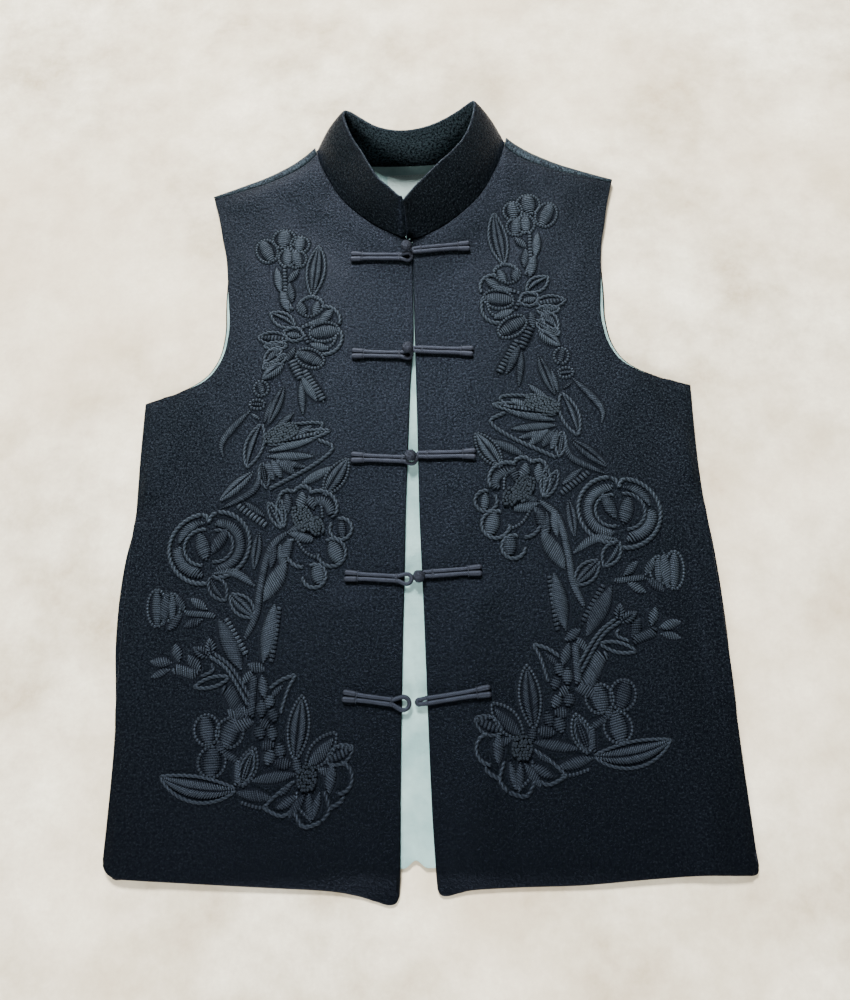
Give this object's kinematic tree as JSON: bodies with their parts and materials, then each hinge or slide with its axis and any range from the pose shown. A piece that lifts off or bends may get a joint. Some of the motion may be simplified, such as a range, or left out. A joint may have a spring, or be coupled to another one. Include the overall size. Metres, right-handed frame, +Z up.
{
  "type": "embroidered waistcoat",
  "caption": "Sleeveless wool waistcoat with a stand-up collar, corded frogs, raised floral embroidery on both fronts and a pale lining, laid flat on its back.",
  "frame": {"origin": "middle of the garment's box at the surface it lies on", "axes": "+X towards the wearer's left, +Y from the hem to the collar, +Z up from the surface"},
  "size_m": [0.5074, 0.715, 0.046],
  "materials": {
    "wool": "napped charcoal wool twill",
    "lining": "pale smooth lining cloth",
    "cord": "dark covered cord with a soft sheen"
  },
  "bodies": {
    "root": {"back": "wool", "back_lining": "lining", "ball_knot_1": "cord", "ball_knot_2": "cord", "ball_knot_3": "cord", "ball_knot_4": "cord", "collar": "wool", "frog_knot_1": "cord", "frog_knot_2": "cord", "frog_knot_3": "cord", "frog_knot_4": "cord", "frog_knot_5": "cord", "frog_loop_1": "cord", "frog_loop_2": "cord", "frog_loop_3": "cord", "frog_loop_4": "cord", "frog_loop_5": "cord", "front_left": "wool", "front_right": "wool", "neck_label": "lining", "pocket_facing_left": "wool", "pocket_facing_right": "wool"}
  },
  "joints": []
}
